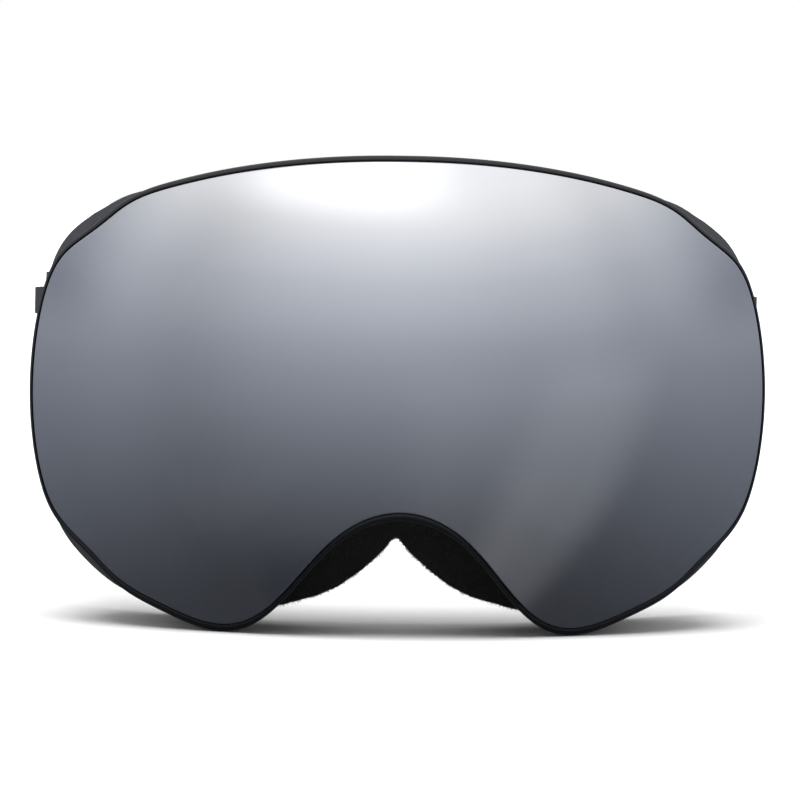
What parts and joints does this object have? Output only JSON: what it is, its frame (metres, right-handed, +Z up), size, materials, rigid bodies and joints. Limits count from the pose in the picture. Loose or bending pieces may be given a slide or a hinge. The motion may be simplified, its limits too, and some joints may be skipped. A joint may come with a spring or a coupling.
{
  "type": "ski goggles",
  "caption": "Ski goggles with a large spherical mirrored lens held by magnets, a soft vented frame, layered face foam, hinged strap arms and an elastic head strap.",
  "frame": {"origin": "on the surface the goggles stand on, under the middle of their box", "axes": "+Z up, -Y the way the wearer looks (the lens faces -Y), +X the wearer's left"},
  "size_m": [0.1802, 0.24, 0.1156],
  "materials": {
    "mirror_lens": "gloss",
    "inner_lens": "gloss",
    "spacer_foam": "matte",
    "rim_plastic": "satin",
    "magnet": "satin",
    "frame_tpu": "matte",
    "vent_foam": "matte",
    "base_foam": "matte",
    "mid_foam": "matte",
    "fleece": "matte",
    "arm_plastic": "satin",
    "pin_steel": "satin",
    "strap_webbing": "matte",
    "slider_plastic": "satin",
    "grip_silicone": "gloss"
  },
  "bodies": {
    "frame": {"frame": "frame_tpu", "frame_magnets": "magnet", "vent_foam_top": "vent_foam", "vent_foam_left": "vent_foam", "vent_foam_right": "vent_foam", "face_foam_base": "base_foam", "face_foam_mid": "mid_foam", "face_fleece": "fleece", "nose_flap_left": "fleece", "nose_flap_right": "fleece", "hinge_pin_left": "pin_steel", "hinge_pin_right": "pin_steel", "strap_band": "strap_webbing", "strap_grips": "grip_silicone"},
    "lens_cassette": {"outer_lens": "mirror_lens", "inner_lens": "inner_lens", "lens_spacer": "spacer_foam", "lens_carrier": "rim_plastic", "lens_magnets": "magnet"},
    "outrigger_left": {"outrigger_left": "arm_plastic", "strap_side_left": "strap_webbing", "strap_return_left": "strap_webbing"},
    "outrigger_right": {"outrigger_right": "arm_plastic", "strap_side_right": "strap_webbing", "strap_return_right": "strap_webbing"},
    "slider_left": {"strap_slider_left": "slider_plastic"},
    "slider_right": {"strap_slider_right": "slider_plastic"}
  },
  "joints": [
    {"name": "lens_lift_off", "type": "slide", "parent": "frame", "child": "lens_cassette", "axis": [0, -1, 0], "range_m": [0, 0.035]},
    {"name": "outrigger_left_hinge", "type": "hinge", "parent": "frame", "child": "outrigger_left", "pos_m": [0.0863, -0.052, 0.062], "axis": [0, -0.1045, -0.9945], "range_deg": [-6, 25]},
    {"name": "outrigger_right_hinge", "type": "hinge", "parent": "frame", "child": "outrigger_right", "pos_m": [-0.0863, -0.052, 0.062], "axis": [0, 0.1045, 0.9945], "range_deg": [-6, 25]},
    {"name": "slider_left_slide", "type": "slide", "parent": "outrigger_left", "child": "slider_left", "axis": [0, 0.9945, -0.1045], "range_m": [-0.001, 0.015]},
    {"name": "slider_right_slide", "type": "slide", "parent": "outrigger_right", "child": "slider_right", "axis": [0, 0.9945, -0.1045], "range_m": [-0.001, 0.015]}
  ]
}
